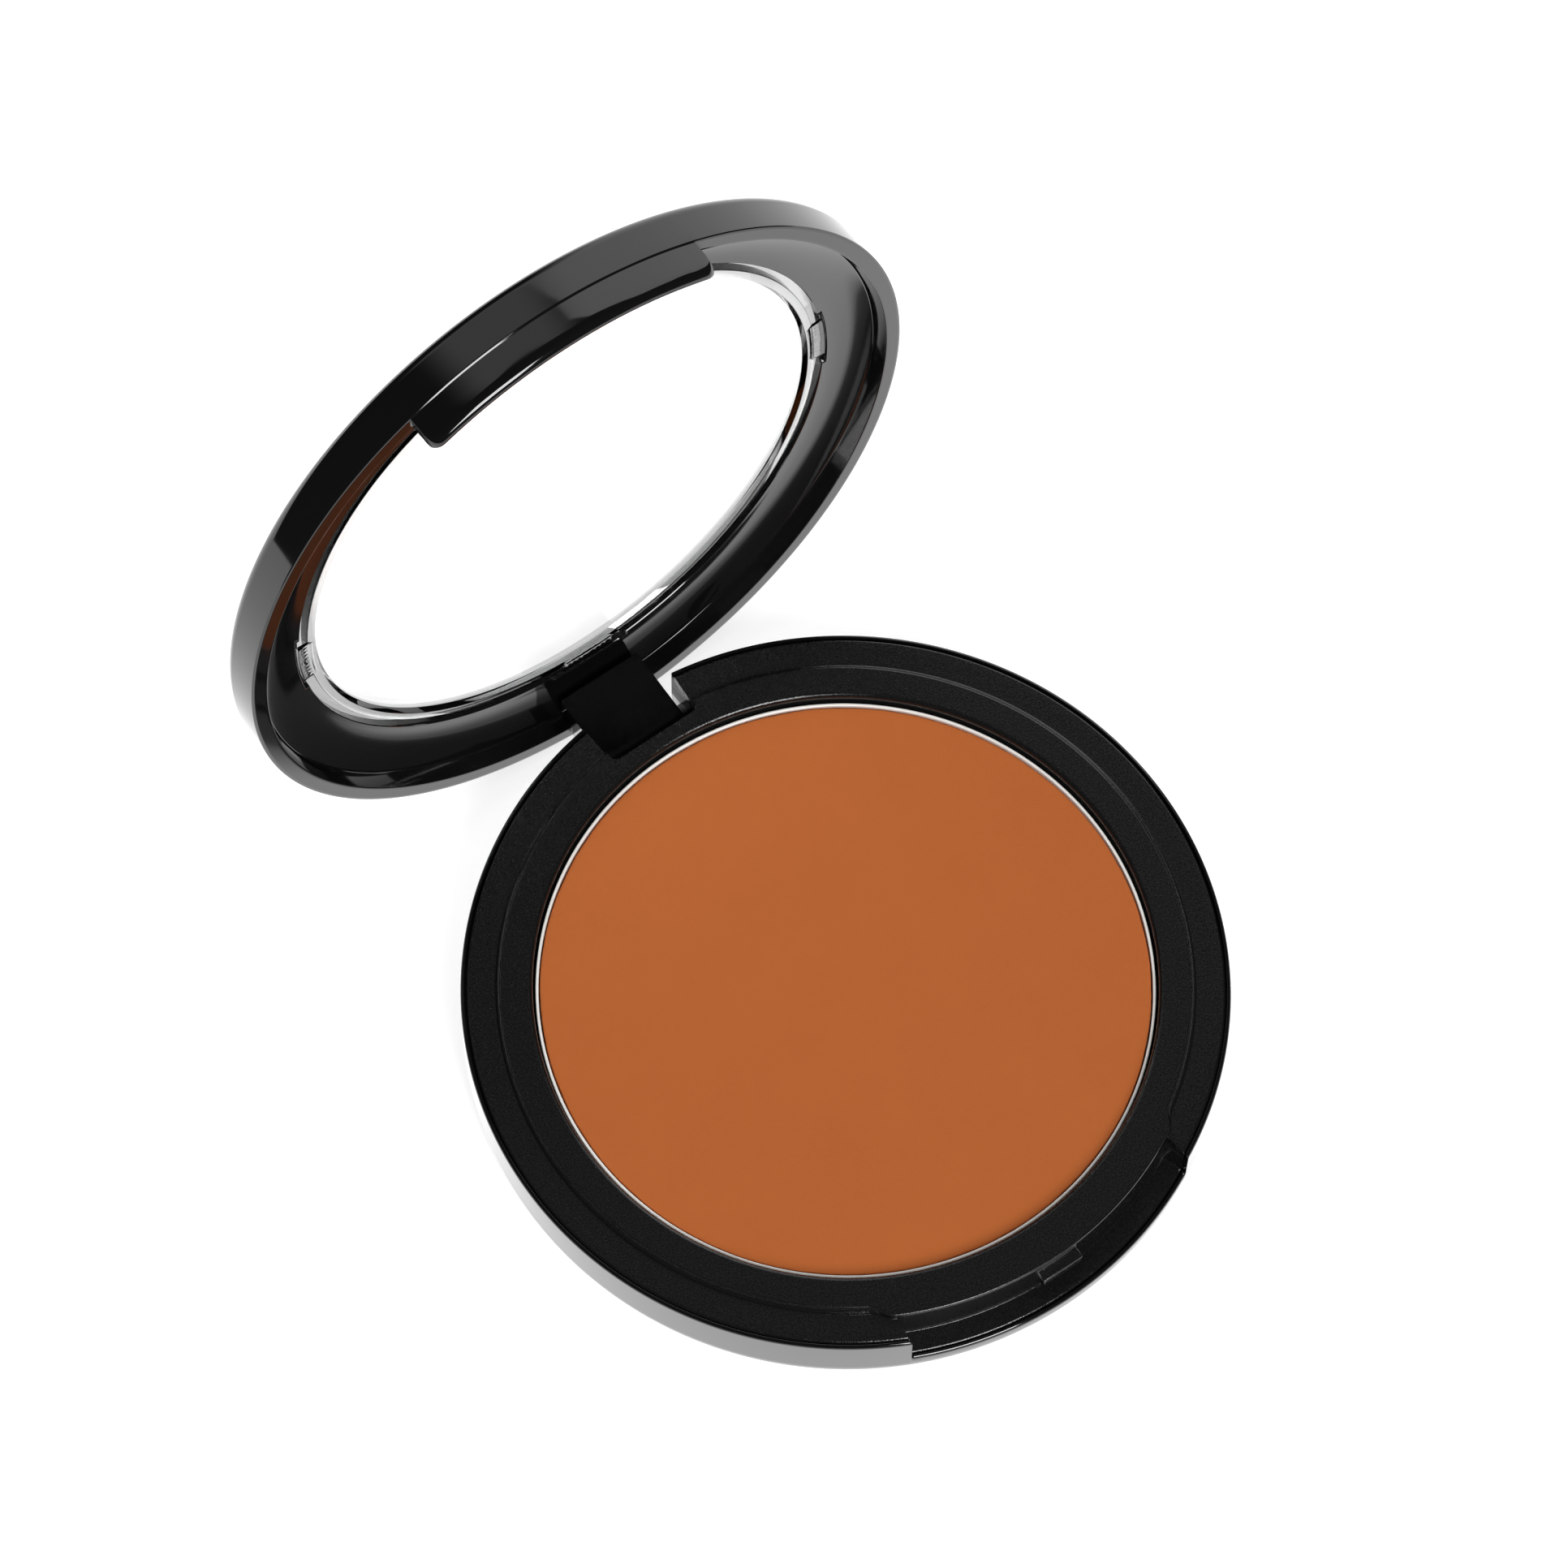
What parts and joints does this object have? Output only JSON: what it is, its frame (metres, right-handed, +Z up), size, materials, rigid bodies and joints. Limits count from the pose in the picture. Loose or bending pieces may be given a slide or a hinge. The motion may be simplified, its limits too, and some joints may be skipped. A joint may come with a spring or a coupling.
{
  "type": "powder compact",
  "caption": "Round black powder compact with a clear window in its hinged lid, a raised collar round the powder pan, and a tongue that closes into a thumb notch.",
  "frame": {"origin": "centre of the underside of the base, on the surface that the compact stands on", "axes": "+Z up, hinge at +Y, thumb notch at -Y, +X to the right when the notch faces the viewer"},
  "size_m": [0.076, 0.0916, 0.0764],
  "materials": {
    "case_gloss": "polished black moulded plastic",
    "lid_gloss": "polished black moulded plastic",
    "deck_satin": "satin black moulded plastic with a fine grain",
    "pan_metal": "thin pressed tin or aluminium pan, bright rim",
    "pressed_powder": "matt pressed powder, warm tan brown",
    "glue": "cured hot-melt glue",
    "label_paper": "blank coated paper",
    "pin_steel": "drawn steel wire",
    "window_clear": "clear polished plastic"
  },
  "bodies": {
    "base": {"base_shell": "case_gloss", "deck_frame": "deck_satin", "powder_pan": "pan_metal", "powder_cake": "pressed_powder", "pan_glue_1": "glue", "pan_glue_2": "glue", "pan_glue_3": "glue", "base_label": "label_paper", "hinge_pin": "pin_steel"},
    "lid": {"lid_shell": "lid_gloss", "window_lens": "window_clear"}
  },
  "joints": [
    {"name": "lid_hinge", "type": "hinge", "parent": "base", "child": "lid", "pos_m": [0, 0.03529, 0.00402], "axis": [1, 0, 0], "range_deg": [0, 96.17]}
  ]
}
